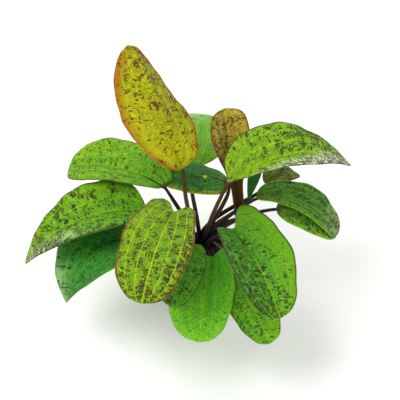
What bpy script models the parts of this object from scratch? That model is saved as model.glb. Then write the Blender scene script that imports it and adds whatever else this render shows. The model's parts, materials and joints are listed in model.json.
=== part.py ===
"""A potted sword plant: a rosette of speckled leaves on stalks, rooted in mineral wool in a net pot.

Run it with blender --background --python part.py, or from Blender's text editor.
The origin is the centre of the pot's underside, +Z is up and -Y is the side the plant is looked at from.
Angles in the leaf list are in degrees: 0 is +X (right), 90 is +Y (back), 270 is -Y (front).
"""

import math
from dataclasses import dataclass

import bmesh
import bpy
from mathutils import Matrix, Vector

MM = 0.001
GAP = 0.3 * MM  # between pieces that touch on the real plant

# Net pot, the usual 5 cm size
POT_HEIGHT = 50 * MM
POT_TOP_RADIUS = 23 * MM
POT_BASE_RADIUS = 17.5 * MM
POT_WALL = 1.2 * MM
POT_FLOOR = 1.6 * MM
RIM_WIDTH = 1.8 * MM
RIM_HEIGHT = 2.4 * MM
POT_SEGMENTS = 36
SIDE_SLOTS = 12
SLOT_WIDTH = 3.2 * MM
SLOT_BOTTOM = 7 * MM
SLOT_TOP = 41 * MM
FLOOR_SLOTS = 6
FLOOR_SLOT_INNER = 6 * MM
FLOOR_SLOT_OUTER = 14.5 * MM
CUTTER_REACH = 8 * MM  # how deep a slot's cutter is through the wall

# Mineral wool plug
WOOL_TOP = 47 * MM
WOOL_SHOULDER = 1.8 * MM  # rise of the dome at the shoulder
WOOL_SHOULDER_SHARE = 0.6  # radius of the shoulder as a share of the plug's
WOOL_DOME = 2.5 * MM
WOOL_SEGMENTS = 24

# Crown: the short rootstock that the stalks grow from
CROWN_TOP = 62 * MM
CROWN_RADIUS = 10.4 * MM
CROWN_FOOT_RADIUS = 13.5 * MM  # flared by the stumps of old stalks
CROWN_WAIST_RADIUS = 11.4 * MM
CROWN_WAIST = 6 * MM  # height above its foot
CROWN_SEGMENTS = 18

# Stalks
RINGS = {"inner": 3.3 * MM, "outer": 8.3 * MM}
STALK_FOOT = CROWN_TOP + GAP
STALK_FOOT_RADIUS = 1.5 * MM
STALK_TOP_RADIUS = 1.25 * MM
STALK_HEEL = 1.2 * MM  # upright length above the crown
STALK_POINTS = 8
STALK_UNDERLAP = 4 * MM  # how far it runs on under the midrib
LOWER_PULL = 0.35  # lengths of the bend's two handles, as shares of the stalk's span
UPPER_PULL = 0.3

# Blades
BLADE_ROWS = 12
BLADE_COLUMNS = (-1, -0.72, -0.38, -0.07, 0, 0.07, 0.38, 0.72, 1)
MIDRIB_THICKNESS = 1.3 * MM
BLADE_THICKNESS = 0.6 * MM
NARROWEST = 2  # width in millimetres of the last row of a pointed tip
PATH_STEPS = 48
LOBE_END = 0.4  # share of the length that the lobes of a heart-shaped base reach up the margin
LOBE_FLARE = 1.3  # how late across the half a lobe sets in

# Shading
CREASE_ANGLE = 35
ROUGHNESS = 0.45


@dataclass
class Leaf:
    """One leaf. Lengths are in millimetres, angles in degrees, left and right as seen from base to tip."""

    name: str
    ring: str  # where on the crown its stalk starts
    root: float  # azimuth of that start
    azimuth: float  # of the blade's base, seen from the plant's axis
    reach: float  # of the blade's base from the plant's axis
    rise: float  # of the blade's base above the stalk's foot
    length: float
    width: float
    heading: float  # azimuth in which the blade sets off
    pitch: tuple  # of the midrib above the horizontal, at the blade's base and tip
    swing: float = 0  # change of heading from base to tip
    roll: float = 0  # lifts the right-hand edge
    bend: float = 1.3  # where the pitch changes: below 1 near the base, above 1 near the tip
    fold: tuple = (22, 10)  # how far each half rises from midrib to margin, at the base and tip
    sag: float = 0  # how much less it rises halfway along than it would from base to tip
    curl: float = 14  # how much steeper than that it starts at the midrib
    skew: tuple = (0, 0)  # share by which the left half is wider and the right one narrower, at the base and tip
    lobe: tuple = (0, 0)  # depth of a heart-shaped base, left and right, as a share of the length
    base: float = 0.5  # bluntness of the base: 0.5 is an ellipse's, more is narrower
    tip: float = 0.5  # bluntness of the tip, in the same way
    neck: float = 2  # width that the blade's base never falls below
    start: float = 76  # pitch in which the stalk leaves the crown
    finish: str = "green_leaf"  # its material


LEAVES = (
    Leaf("tall", "inner", 170, 167, 13, 65, 97, 56, 132, (65, 42),
         roll=-5, fold=(35, -20), sag=32, skew=(-0.05, 0.08), tip=0.58, finish="yellow_leaf"),
    Leaf("back_left", "outer", 140, 159, 28, 43, 77, 54, 148, (15, -20),
         swing=25, fold=(28, 5), lobe=(0.02, 0.08), tip=0.34),
    Leaf("left_long", "outer", 175, 192, 38, 37, 104, 58, 190, (15, -60), swing=15, fold=(22, 5), tip=1.15),
    Leaf("front_left", "inner", 242, 235, 32, 50, 90, 51, 257, (20, -35),
         fold=(26, 0), lobe=(0.1, 0.22), tip=0.45, finish="speckled_leaf"),
    Leaf("low_left", "outer", 210, 202, 53, 20, 78, 72, 190, (12, -95),
         swing=55, fold=(20, 12), skew=(0.15, 0.1), base=0.45, tip=1.4, finish="dark_leaf"),
    Leaf("front_small", "outer", 252, 262, 19, 15, 61, 30, 254, (4, -20), fold=(20, 5), tip=0.45, start=60),
    Leaf("front", "outer", 277, 290, 24, 4, 71, 46, 263, (0, -32),
         fold=(15, 0), skew=(-0.08, -0.15), lobe=(0.2, 0.08), tip=0.45, start=60, finish="plain_leaf"),
    Leaf("front_right", "outer", 301, 311, 38, 33, 85, 48, 290, (18, -35),
         fold=(28, 14), skew=(0.22, -0.05), lobe=(0.42, 0.16), base=0.4, tip=0.5),
    Leaf("low_right", "outer", 325, 314, 27, 3, 80, 35, 292, (-4, -20),
         roll=-8, fold=(10, 5), tip=0.45, start=60, finish="plain_leaf"),
    Leaf("young", "outer", 37, 19, 30, 14, 87, 34, 114, (78, 60),
         fold=(40, 15), base=2, neck=10, finish="brown_leaf"),
    Leaf("right_long", "inner", 314, 340, 22, 62, 105, 55, 10, (42, -54),
         swing=15, bend=1.1, fold=(38, -5), skew=(0.02, 0.15), base=0.42, tip=0.75),
    Leaf("right", "outer", 13, 8, 40, 37, 74, 33, 5, (24, -60),
         swing=-34, bend=0.8, fold=(20, -4), skew=(0, 0.25), tip=0.46, finish="dark_leaf"),
    Leaf("right_low", "outer", 349, 7, 55, 27, 53, 38, -8, (2, -56),
         roll=-5, fold=(6, 2), finish="dark_leaf"),
    Leaf("back", "inner", 98, 100, 46, 33, 66, 60, 83, (28, -25), fold=(10, -5), finish="plain_leaf"),
    Leaf("back_shaded", "inner", 26, 27, 22, 48, 65, 38, 155, (5, -15),
         fold=(-18, -18), lobe=(0.12, 0), finish="dark_leaf"),
    Leaf("back_right", "outer", 85, 35, 60, 25, 27, 27, 36, (30, -25),
         fold=(20, 5), tip=0.28, start=50, finish="dark_leaf"),
    Leaf("youngest", "outer", 61, 32, 42, 22, 34, 11, 59, (60, 66), base=0.9, start=45, finish="plain_leaf"),
)

COLOURS = {
    "green_leaf": (0.16, 0.42, 0.02, 1),
    "speckled_leaf": (0.2, 0.36, 0.02, 1),
    "plain_leaf": (0.1, 0.4, 0.03, 1),
    "dark_leaf": (0.03, 0.2, 0.02, 1),
    "yellow_leaf": (0.5, 0.42, 0.01, 1),
    "brown_leaf": (0.2, 0.13, 0.03, 1),
    "stalk": (0.08, 0.03, 0.01, 1),
    "crown": (0.015, 0.008, 0.005, 1),
    "wool": (0.28, 0.2, 0.1, 1),
    "pot": (0.01, 0.01, 0.012, 1),
}


def material(name, roughness):
    """A plain material with the colour of that name, made once."""
    found = bpy.data.materials.get(name)
    if found:
        return found
    made = bpy.data.materials.new(name)
    made.use_nodes = True
    shader = made.node_tree.nodes["Principled BSDF"]
    shader.inputs["Base Color"].default_value = COLOURS[name]
    shader.inputs["Roughness"].default_value = roughness
    shader.inputs["Metallic"].default_value = 0
    return made


def direction(azimuth, pitch):
    """Unit vector at an azimuth and a pitch above the horizontal, both in degrees."""
    a = math.radians(azimuth)
    p = math.radians(pitch)
    return Vector((math.cos(p) * math.cos(a), math.cos(p) * math.sin(a), math.sin(p)))


def new_object(name, data, finish, roughness=ROUGHNESS):
    obj = bpy.data.objects.new(name, data)
    bpy.context.scene.collection.objects.link(obj)
    obj.data.materials.append(material(finish, roughness))
    return obj


def mesh_of(bm, name):
    mesh = bpy.data.meshes.new(name)
    bm.to_mesh(mesh)
    bm.free()
    return mesh


# Leaf geometry


def midrib_direction(leaf, s):
    """Direction of the midrib at a share s of the blade's length."""
    pitch = leaf.pitch[0] + (leaf.pitch[1] - leaf.pitch[0]) * s**leaf.bend
    return direction(leaf.heading + leaf.swing * s, pitch)


def midrib_frame(leaf, s):
    """Share, point, forward, right and up at a share s of the blade's length."""
    point = direction(leaf.azimuth, 0) * leaf.reach * MM
    point.z = STALK_FOOT + leaf.rise * MM
    for i in range(PATH_STEPS):
        point += s * leaf.length * MM / PATH_STEPS * midrib_direction(leaf, s * (i + 0.5) / PATH_STEPS)
    forward = midrib_direction(leaf, s)
    heading = math.radians(leaf.heading + leaf.swing * s)
    level_right = Vector((math.sin(heading), -math.cos(heading), 0))
    level_up = level_right.cross(forward)
    roll = math.radians(leaf.roll)
    right = level_right * math.cos(roll) + level_up * math.sin(roll)
    return s, point, forward, right, right.cross(forward)


def midrib_frames(leaf, count):
    """The frames of count rows from base to tip, closer together at both ends."""
    return [midrib_frame(leaf, (1 - math.cos(math.pi * i / (count - 1))) / 2) for i in range(count)]


def half_width(leaf, s):
    """Half the blade's width at a share s of its length: a power curve, blunter where the power is lower."""
    if s <= 0 or s >= 1:
        return 0
    widest = leaf.base / (leaf.base + leaf.tip)
    rise = (s / widest) ** leaf.base
    fall = ((1 - s) / (1 - widest)) ** leaf.tip
    narrowest = leaf.neck if s < widest else NARROWEST
    return max(leaf.width * rise * fall, narrowest) / 2 * MM


def lobe_shape(s):
    return math.sqrt(s) * (1 - s / LOBE_END) ** 2


def lobe_reach(leaf, s, v):
    """How far the margin of a heart-shaped base lies behind the midrib's own point."""
    if not 0 < s < LOBE_END:
        return 0
    depth = leaf.lobe[0] if v < 0 else leaf.lobe[1]
    return depth * leaf.length * MM * lobe_shape(s) / lobe_shape(LOBE_END / 5)


def blade_point(leaf, frame, v):
    """The blade's upper surface at a row's frame and a share v of the half width, -1 left to 1 right."""
    s, point, forward, right, up = frame
    side = abs(v)
    skew = leaf.skew[0] + (leaf.skew[1] - leaf.skew[0]) * s
    half = half_width(leaf, s) * (1 + skew if v < 0 else 1 - skew)
    fold = leaf.fold[0] + (leaf.fold[1] - leaf.fold[0]) * s - leaf.sag * 4 * s * (1 - s)
    angle = math.radians(fold + leaf.curl * (1 - side) / 2)
    across = half * side * math.cos(angle)
    lift = half * side * math.sin(angle)
    back = lobe_reach(leaf, s, v) * side**LOBE_FLARE
    return point - forward * back + right * math.copysign(across, v) + up * lift


def blade(leaf):
    """The blade as one sheet of rows between its base and tip, thickened downwards by Solidify."""
    frames = midrib_frames(leaf, BLADE_ROWS)
    bm = bmesh.new()
    base = bm.verts.new(frames[0][1])
    rows = [[bm.verts.new(blade_point(leaf, frame, v)) for v in BLADE_COLUMNS] for frame in frames[1:-1]]
    tip = bm.verts.new(frames[-1][1])
    for j in range(len(BLADE_COLUMNS) - 1):
        bm.faces.new((base, rows[0][j + 1], rows[0][j]))
        bm.faces.new((tip, rows[-1][j], rows[-1][j + 1]))
        for near, far in zip(rows, rows[1:]):
            bm.faces.new((near[j], near[j + 1], far[j + 1], far[j]))
    bmesh.ops.recalc_face_normals(bm, faces=bm.faces)
    up_at_base = frames[0][4]
    if rows[0][0].link_faces[0].normal.dot(up_at_base) < 0:
        bmesh.ops.reverse_faces(bm, faces=bm.faces)
    bm.verts.index_update()
    middle = BLADE_COLUMNS.index(0)
    midrib = [row[middle].index for row in rows[:-1]]
    obj = new_object("leaf_" + leaf.name, mesh_of(bm, "leaf_" + leaf.name), leaf.finish)
    group = obj.vertex_groups.new(name="midrib")
    group.add(midrib, 1, "REPLACE")
    shell = obj.modifiers.new("thickness", "SOLIDIFY")
    shell.thickness = MIDRIB_THICKNESS
    shell.offset = -1
    shell.vertex_group = group.name
    shell.thickness_vertex_group = BLADE_THICKNESS / MIDRIB_THICKNESS
    return obj


def bezier(controls, t):
    a, b, c, d = controls
    return a * (1 - t) ** 3 + b * 3 * t * (1 - t) ** 2 + c * 3 * t * t * (1 - t) + d * t**3


def stalk(leaf):
    """A tapering stalk from the crown to just under the blade's base, on one smooth bend."""
    foot = direction(leaf.root, 0) * RINGS[leaf.ring]
    foot.z = STALK_FOOT
    _, under, forward, _, up = midrib_frame(leaf, STALK_UNDERLAP / (leaf.length * MM))
    top = under - up * (MIDRIB_THICKNESS + STALK_TOP_RADIUS + 2 * GAP)
    span = (top - foot).length
    heel = foot + Vector((0, 0, STALK_HEEL))
    leaving = direction(leaf.azimuth, leaf.start)
    controls = (heel, heel + leaving * span * LOWER_PULL, top - forward * span * UPPER_PULL, top)
    curve = bpy.data.curves.new("stalk_" + leaf.name, "CURVE")
    curve.dimensions = "3D"
    curve.bevel_depth = 1
    curve.bevel_resolution = 2
    curve.use_fill_caps = True
    line = curve.splines.new("POLY")
    line.points.add(STALK_POINTS)
    line.points[0].co = (*foot, 1)
    line.points[0].radius = STALK_FOOT_RADIUS
    for i, point in enumerate(line.points[1:]):
        t = i / (STALK_POINTS - 1)
        point.co = (*bezier(controls, t), 1)
        point.radius = STALK_FOOT_RADIUS + (STALK_TOP_RADIUS - STALK_FOOT_RADIUS) * t
    return new_object("stalk_" + leaf.name, curve, "stalk")


# Pot, wool and crown


def turned(name, profile, segments, finish, roughness):
    """A solid turned about Z from the outline of half its section, as (radius, height) pairs."""
    bm = bmesh.new()
    ring = [bm.verts.new((r, 0, z)) for r, z in profile]
    edges = [bm.edges.new(pair) for pair in zip(ring, ring[1:])]
    bmesh.ops.spin(
        bm, geom=ring + edges, cent=(0, 0, 0), axis=(0, 0, 1), angle=math.tau, steps=segments, use_merge=True
    )
    bmesh.ops.remove_doubles(bm, verts=bm.verts, dist=1e-6)
    bmesh.ops.recalc_face_normals(bm, faces=bm.faces)
    obj = new_object(name, mesh_of(bm, name), finish, roughness)
    obj.data.shade_smooth()
    obj.data.set_sharp_from_angle(angle=math.radians(CREASE_ANGLE))
    return obj


def pot_radius(z):
    """Outer radius of the tapered wall at a height."""
    return POT_BASE_RADIUS + (POT_TOP_RADIUS - POT_BASE_RADIUS) * z / POT_HEIGHT


def cutter(name, size, radius, height, azimuth):
    """A box that cuts one slot, set at a radius and height and turned to face out."""
    bpy.ops.mesh.primitive_cube_add(size=1)
    obj = bpy.context.active_object
    obj.name = name
    obj.data.transform(Matrix.Diagonal((*size, 1)))
    obj.rotation_euler.z = math.radians(azimuth)
    obj.location = direction(azimuth, 0) * radius
    obj.location.z = height
    obj.hide_render = True
    obj.display_type = "WIRE"
    return obj


def pot():
    """The tapered pot with a rolled rim, slots up its side and slots in its floor."""
    rim_under = POT_HEIGHT - RIM_HEIGHT
    outer = pot_radius(rim_under)
    profile = (
        (0, 0),
        (POT_BASE_RADIUS, 0),
        (outer, rim_under),
        (outer + RIM_WIDTH, rim_under),
        (outer + RIM_WIDTH, POT_HEIGHT),
        (POT_TOP_RADIUS - POT_WALL, POT_HEIGHT),
        (pot_radius(POT_FLOOR) - POT_WALL, POT_FLOOR),
        (0, POT_FLOOR),
    )
    obj = turned("pot", profile, POT_SEGMENTS, "pot", 0.4)
    middle = (SLOT_TOP + SLOT_BOTTOM) / 2
    wall_radius = pot_radius(middle) - POT_WALL / 2
    side_size = (CUTTER_REACH, SLOT_WIDTH, SLOT_TOP - SLOT_BOTTOM)
    floor_radius = (FLOOR_SLOT_INNER + FLOOR_SLOT_OUTER) / 2
    floor_size = (FLOOR_SLOT_OUTER - FLOOR_SLOT_INNER, SLOT_WIDTH, CUTTER_REACH)
    cutters = bpy.data.collections.new("cutters")
    bpy.context.scene.collection.children.link(cutters)
    for i in range(SIDE_SLOTS):
        azimuth = (i + 0.5) * 360 / SIDE_SLOTS
        cutters.objects.link(cutter(f"side_slot_{i}", side_size, wall_radius, middle, azimuth))
    for i in range(FLOOR_SLOTS):
        azimuth = i * 360 / FLOOR_SLOTS
        cutters.objects.link(cutter(f"floor_slot_{i}", floor_size, floor_radius, 0, azimuth))
    cut = obj.modifiers.new("slots", "BOOLEAN")
    cut.operation = "DIFFERENCE"
    cut.operand_type = "COLLECTION"
    cut.collection = cutters
    return obj


def wool():
    """The plug of mineral wool that fills the pot, with a low dome on top."""
    low = POT_FLOOR + GAP
    inset = POT_WALL + GAP
    top_radius = pot_radius(WOOL_TOP) - inset
    profile = (
        (0, low),
        (pot_radius(low) - inset, low),
        (top_radius, WOOL_TOP),
        (top_radius * WOOL_SHOULDER_SHARE, WOOL_TOP + WOOL_SHOULDER),
        (0, WOOL_TOP + WOOL_DOME),
    )
    return turned("wool", profile, WOOL_SEGMENTS, "wool", 0.9)


def crown():
    """The dark rootstock, a low knob on the wool, wider at its foot."""
    foot = WOOL_TOP + WOOL_DOME + GAP
    profile = (
        (0, foot),
        (CROWN_FOOT_RADIUS, foot),
        (CROWN_WAIST_RADIUS, foot + CROWN_WAIST),
        (CROWN_RADIUS, CROWN_TOP),
        (0, CROWN_TOP),
    )
    return turned("crown", profile, CROWN_SEGMENTS, "crown", 0.7)


def main():
    for obj in list(bpy.data.objects):
        bpy.data.objects.remove(obj)
    pot()
    wool()
    crown()
    for leaf in LEAVES:
        stalk(leaf)
        blade(leaf)


if __name__ == "__main__":
    main()
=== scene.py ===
"""Looks of a potted sword plant: speckled leaf blades, stalks, rootstock, mineral wool, net pot and studio."""

import json
import math
import random
from contextlib import contextmanager
from functools import partial

import bmesh
import bpy
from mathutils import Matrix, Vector, noise

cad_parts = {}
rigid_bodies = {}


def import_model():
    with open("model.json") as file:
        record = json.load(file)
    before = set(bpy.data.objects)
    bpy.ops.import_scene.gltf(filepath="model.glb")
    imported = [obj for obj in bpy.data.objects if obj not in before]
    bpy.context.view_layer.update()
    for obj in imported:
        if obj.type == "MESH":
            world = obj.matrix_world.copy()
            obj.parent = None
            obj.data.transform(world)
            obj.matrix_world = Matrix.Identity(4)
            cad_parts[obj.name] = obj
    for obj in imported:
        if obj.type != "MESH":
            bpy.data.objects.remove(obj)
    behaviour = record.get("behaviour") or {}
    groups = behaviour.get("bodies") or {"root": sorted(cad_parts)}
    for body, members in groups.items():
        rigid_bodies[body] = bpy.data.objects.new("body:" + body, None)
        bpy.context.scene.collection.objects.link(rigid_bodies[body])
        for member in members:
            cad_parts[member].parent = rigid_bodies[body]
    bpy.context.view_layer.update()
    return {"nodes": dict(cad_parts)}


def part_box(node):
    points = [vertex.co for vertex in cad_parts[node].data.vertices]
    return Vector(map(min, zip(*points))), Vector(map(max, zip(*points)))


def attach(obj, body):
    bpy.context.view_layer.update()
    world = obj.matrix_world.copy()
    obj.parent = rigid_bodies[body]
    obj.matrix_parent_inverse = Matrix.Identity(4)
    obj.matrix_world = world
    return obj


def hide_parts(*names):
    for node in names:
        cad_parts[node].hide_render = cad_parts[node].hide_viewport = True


bl_info = {
    "name": "Potted sword plant",
    "version": (1, 0, 0),
    "blender": (4, 5, 0),
    "location": "3D View > Sidebar > Plant",
    "description": "Dresses the solids of a potted sword plant with veined blades, stalks, wool and a studio",
    "category": "Object",
}

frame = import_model()

MM = 0.001
# Rows and columns of the solid blades, which the veins follow
ROWS = 12
COLUMNS = (-1, -0.72, -0.38, -0.07, 0, 0.07, 0.38, 0.72, 1)
VEINS = (0, 0.38, 0.72, 1)
# What each vertex of a blade knows of its place, and two directions there
MARKS = ("along", "across", "half_width", "underside", "x", "y")
WAYS = ("up", "outward")
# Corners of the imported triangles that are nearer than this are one
WELD = 0.01 * MM
# Half width from which a blade's relief has its full height
FULL_RELIEF = 15 * MM
# Further depth of the notch at a blade's base, where lobes is 1
NOTCH = 4.5 * MM
RIBS_ROUND_STALK = 8
# A stalk's first ring lies this near the rootstock's top, and is sunk so deep into it
NEAR_TOP = 0.32 * MM
SUNK_FOOT = 0.8 * MM
# Widening of a stalk above its foot and at its upper end; rounding its 8 ribs takes about a tenth off again
STALK_WIDENING = 1.25
END_WIDENING = 1.05
# How far the stalk runs on below the midrib, ring by ring, and its radius there as a share
MIDRIB_STEPS = ((3 * MM, 0.85), (6.5 * MM, 0.6), (10.5 * MM, 0.38), (15 * MM, 0.16))
# The wool's dome, from its top down to its shoulder
DOME = 2.3 * MM
POINTS_PER_FIBRE = 6


def linear(code):
    """An sRGB hex colour as linear red, green and blue."""
    parts = [int(code[i : i + 2], 16) / 255 for i in (0, 2, 4)]
    return tuple(p / 12.92 if p <= 0.04045 else ((p + 0.055) / 1.055) ** 2.4 for p in parts)


def smooth(low, high, value):
    """0 below low, 1 above high, and an even S between."""
    t = min(max((value - low) / (high - low), 0), 1)
    return t * t * (3 - 2 * t)


# Colours that all leaves share
# Pale grey-green of a bleached tip, which is partly painted sheen
PALE_WAX_AND_SHEEN = linear("D2DCB0")
BASE_BROWN = linear("30160A")
VEIN_BROWN = linear("30190B")
FLECK_ON_WAX = linear("24261E")
AGE_SPOT = linear("B8B428")
PALE_UNDERSIDE = linear("9AB478")
# Colours of each leaf, in the order of these names; the last is the upper part of its stalk
TONES = ("light", "deep", "vein", "fleck", "margin", "stalk")
COLOURS = {
    "tall": ("B0AA04", "7E8A0C", "BCC40C", "58260C", "96540F", "544012"),
    "back_left": ("7CA80C", "428C18", "94BC14", "343A12", "5A6A1C", "20140C"),
    "left_long": ("709F0E", "388418", "98BC14", "28240F", "3A4216", "2E1C10"),
    "front_left": ("70980E", "487E14", "A8C410", "34200C", "70380F", "3C2012"),
    "low_left": ("459322", "1C6D24", "56A028", "20381C", "40802C", "2E1C10"),
    "front_small": ("54A420", "2A7824", "7CA81C", "28301A", "403C14", "2E1C10"),
    # front's greens are painted lighter, to make up for the shade of the leaves above it
    "front": ("80CE2C", "4AB430", "98C81C", "206020", "78B018", "2E2214"),
    "front_right": ("58960E", "1E7C26", "88B410", "2C2A12", "3E3A14", "2E1C10"),
    "low_right": ("70AC14", "2A8428", "90BC14", "264A1C", "54441A", "2E1C10"),
    "young": ("AA8E2E", "70642A", "C8C034", "3E2614", "7A5222", "34180C"),
    "right_long": ("78A00E", "448418", "A4C410", "2A2A14", "3E4420", "5A3814"),
    "right": ("388C1C", "1A641A", "98A834", "1A341A", "70B018", "2A2214"),
    # right_low's greens are painted lighter, to make up for the shadow of the leaf above it
    "right_low": ("78B028", "488624", "94B024", "20341A", "80B018", "2A2214"),
    "back": ("78A61E", "3E8C20", "98BC30", "2C6A34", "74A838", "34501E"),
    "back_shaded": ("34881E", "1A541A", "4A701A", "183A1E", "8E941E", "3A2414"),
    "back_right": ("6A7A20", "46541A", "707C24", "24220E", "5A5418", "221C10"),
    "youngest": ("226A28", "124A20", "449A44", "18502A", "34803A", "283A1A"),
}
# Shares of each leaf's markings, in the order of these names
MARKINGS = (
    "flecks", "blotches", "bleach_and_sheen", "bleach_and_sheen_half", "brown_base", "deep_and_shaded_half", "deep_base", "veined", "rim",
    "lobes", "trough",
)
SHARES = {
    "tall": (0.66, 0.38, 0, 0, 0.5, 0.4, -0.5, 0.35, 0.6, 0, 0),
    "back_left": (0.45, 0.2, 0, 0, 1, -0.2, 0.8, 0.4, 0.12, 0, 0),
    "left_long": (0.88, 0.6, 0.42, -0.35, 0.1, -0.3, 0.6, 0.45, 0.06, 0, 0),
    "front_left": (0.98, 0.42, 0, 0, 0, -0.2, 0.1, 0.75, 0.12, 1, 0),
    "low_left": (0.44, 0.1, 0.34, 0.25, 1, -0.3, 0.3, 0.3, 0.06, 0, 0),
    "front_small": (0.75, 0.4, 0, 0, 0.1, 0.4, 0, 0.35, 0.05, 0, 0),
    "front": (0.12, 0, 0, 0, 0.3, -0.2, 0.9, 0.6, 0.1, 0.5, 0),
    "front_right": (0.9, 0.35, 0, 0, 1, 0.9, 0, 0.5, 0.06, 0.5, 0),
    "low_right": (0.4, 0.1, 0, 0, 0, 0.4, 0.3, 0.4, 0.05, 0, 0),
    "young": (0.62, 0.1, 0, 0, 1, -0.5, 0.2, 0.5, 0.15, 0, 1),
    "right_long": (0.7, 0.55, 1, 0.55, 0, 0, -0.4, 0.6, 0.06, 0, 0),
    "right": (0.75, 0.15, 0.35, 0, 0.5, 0, 0.3, 0.6, 0.12, 0, 0),
    "right_low": (0.6, 0.3, 0, 0, 0.8, 0, 0, 0.4, 0.15, 0, 0),
    "back": (0.2, 0.05, 0.5, -0.3, 0, -0.2, 0.2, 0.3, 0.1, 0, 0),
    "back_shaded": (0.4, 0.1, 0, 0, 1, -0.5, 0.2, 0.25, 0.3, 0, 0),
    "back_right": (0.8, 0.3, 0, 0, 0.3, 0, 0, 0.3, 0.1, 0, 0),
    "youngest": (0.1, 0, 0, 0, 0, 0, 0, 0.3, 0.1, 0, 0),
}


def colour_of(title, text, code="000000"):
    return bpy.props.FloatVectorProperty(
        name=title, description=text, default=linear(code), subtype="COLOR", size=3, min=0, max=1
    )


def share_of(title, text, default=0.0, low=0.0):
    return bpy.props.FloatProperty(name=title, description=text, default=default, subtype="FACTOR", min=low, max=1)


def length_of(title, text, default):
    return bpy.props.FloatProperty(name=title, description=text, default=default, unit="LENGTH")


def count_of(title, text, default, low, most):
    return bpy.props.IntProperty(name=title, description=text, default=default, min=low, max=most)


class BladeLook(bpy.types.PropertyGroup):
    """Colours and markings of one leaf."""

    light: colour_of("Light green", "Tissue in the thin, light parts of the blade")
    deep: colour_of("Deep green", "Tissue in the thicker parts of the blade")
    vein: colour_of("Veins", "The midrib and the veins beside it")
    fleck: colour_of("Flecks", "The dark marks between the veins")
    margin: colour_of("Margin", "The thin coloured edge")
    stalk: colour_of("Stalk", "The upper part of the leaf's stalk")
    flecks: share_of("Fleck cover", "How much of the blade the fine flecks cover")
    blotches: share_of("Blotch cover", "How much of the blade the larger blotches cover")
    # The bleached tip is partly a painted sheen of light on the wax
    bleach_and_sheen: share_of("Bleached tip", "How far the tip has gone pale and grey")
    bleach_and_sheen_half: share_of("Bleached half", "The half where that spreads, left below 0 and right above", low=-1.0)
    brown_base: share_of("Brown base veins", "How brown the veins are where they leave the stalk")
    # The deeper half is partly painted shade of a blade folded away from the light
    deep_and_shaded_half: share_of("Deeper half", "The half that is deeper green, left below 0 and right above", low=-1.0)
    deep_base: share_of("Deeper base", "How much deeper green the base is, lighter below 0", low=-1.0)
    veined: share_of("Vein contrast", "How clearly the veins stand out in colour")
    rim: share_of("Coloured rim", "How far the margin's colour spreads inwards, 1 for 12 mm")
    lobes: share_of("Lobes", "Depth of the notch between the two lobes at the base, 1 for 4.5 mm more")
    trough: share_of("Brown trough", "How far the brown of the stalk goes on up a narrow, folded base")
    spot: bpy.props.FloatVectorProperty(
        name="Age spot", description="Its place beside and along the midrib, and its radius", size=3, unit="LENGTH"
    )


class BladeSettings(bpy.types.PropertyGroup):
    """Relief and skin of all the blades."""

    looks: bpy.props.CollectionProperty(type=BladeLook, name="Leaves", description="One look for each leaf")
    levels: count_of("Smoothness", "Subdivisions of each solid blade", 3, 1, 4)
    quilting: length_of("Quilting", "Rise of the tissue between two veins", 0.5 * MM)
    ripple: length_of("Ripple", "Height of the waves along the margin", 0.55 * MM)
    scallop: length_of("Uneven outline", "How far the margin swings in and out", 0.28 * MM)
    ripple_length: length_of("Ripple length", "Length of one wave along the margin", 34 * MM)
    vein_width: length_of("Vein width", "Width of the veins beside the midrib", 0.6 * MM)
    gloss: share_of("Roughness", "Roughness of the waxy skin", 0.48)


class StalkSettings(bpy.types.PropertyGroup):
    """Shape and colour of the stalks and the rootstock."""

    foot: colour_of("Foot", "Colour at the rootstock", "120A06")
    middle: colour_of("Middle", "Colour above the foot", "28170C")
    flare: bpy.props.FloatProperty(
        name="Foot flare", description="Widening of the foot, as a factor", default=1.3, min=1, max=2
    )
    lumps: length_of("Lumps", "Height of the rootstock's lumps", 1.1 * MM)


class PotSettings(bpy.types.PropertyGroup):
    """Pot and wool."""

    plastic: colour_of("Plastic", "Colour of the moulded pot", "17181A")
    rounding: length_of("Edge rounding", "Radius of the pot's moulded edges", 0.3 * MM)
    wool: colour_of("Wool", "Colour of the mineral wool", "A08A5E")
    fibres: count_of("Fibres", "Loose fibres on top of the wool", 420, 0, 1500)
    fibre_width: length_of("Fibre width", "Thickness of a bundle of fibres", 0.16 * MM)


class StudioSettings(bpy.types.PropertyGroup):
    """Floor, light and camera."""

    floor: colour_of("Floor", "Colour of the floor", "F4F4F2")
    distance: length_of("Distance", "From the camera to the plant's middle", 0.85)
    elevation: bpy.props.FloatProperty(
        name="Elevation",
        description="Angle of the camera above the horizon",
        default=math.radians(40),
        subtype="ANGLE",
    )
    aim: length_of("Aim height", "Height that the camera looks at", 0.1023)
    lens: bpy.props.FloatProperty(
        name="Lens", description="Focal length", default=107.1, subtype="DISTANCE_CAMERA", unit="CAMERA"
    )


# Help with meshes


def choose(item):
    """Select one object alone and make it the active one."""
    bpy.ops.object.select_all(action="DESELECT")
    item.select_set(True)
    bpy.context.view_layer.objects.active = item


@contextmanager
def editing():
    """Edit mode on the active piece, with all of it selected."""
    bpy.ops.object.mode_set(mode="EDIT")
    bpy.ops.mesh.select_all(action="SELECT")
    yield
    bpy.ops.object.mode_set(mode="OBJECT")


def merged_copy(node, name):
    """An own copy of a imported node, with its loose triangles merged into one skin."""
    choose(frame["nodes"][node])
    bpy.ops.object.duplicate()
    piece = bpy.context.active_object
    piece.name = piece.data.name = name
    piece.parent = None
    for key in list(piece.keys()):
        del piece[key]
    piece.data.materials.clear()
    bpy.ops.mesh.customdata_custom_splitnormals_clear()
    with editing():
        bpy.ops.mesh.remove_doubles(threshold=WELD)
        bpy.ops.mesh.normals_make_consistent(inside=False)
    return piece


def bare_mesh(piece):
    """The piece's mesh to edit vertex by vertex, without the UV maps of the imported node."""
    for layer in list(piece.data.uv_layers):
        piece.data.uv_layers.remove(layer)
    bm = bmesh.new()
    bm.from_mesh(piece.data)
    return bm


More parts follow.
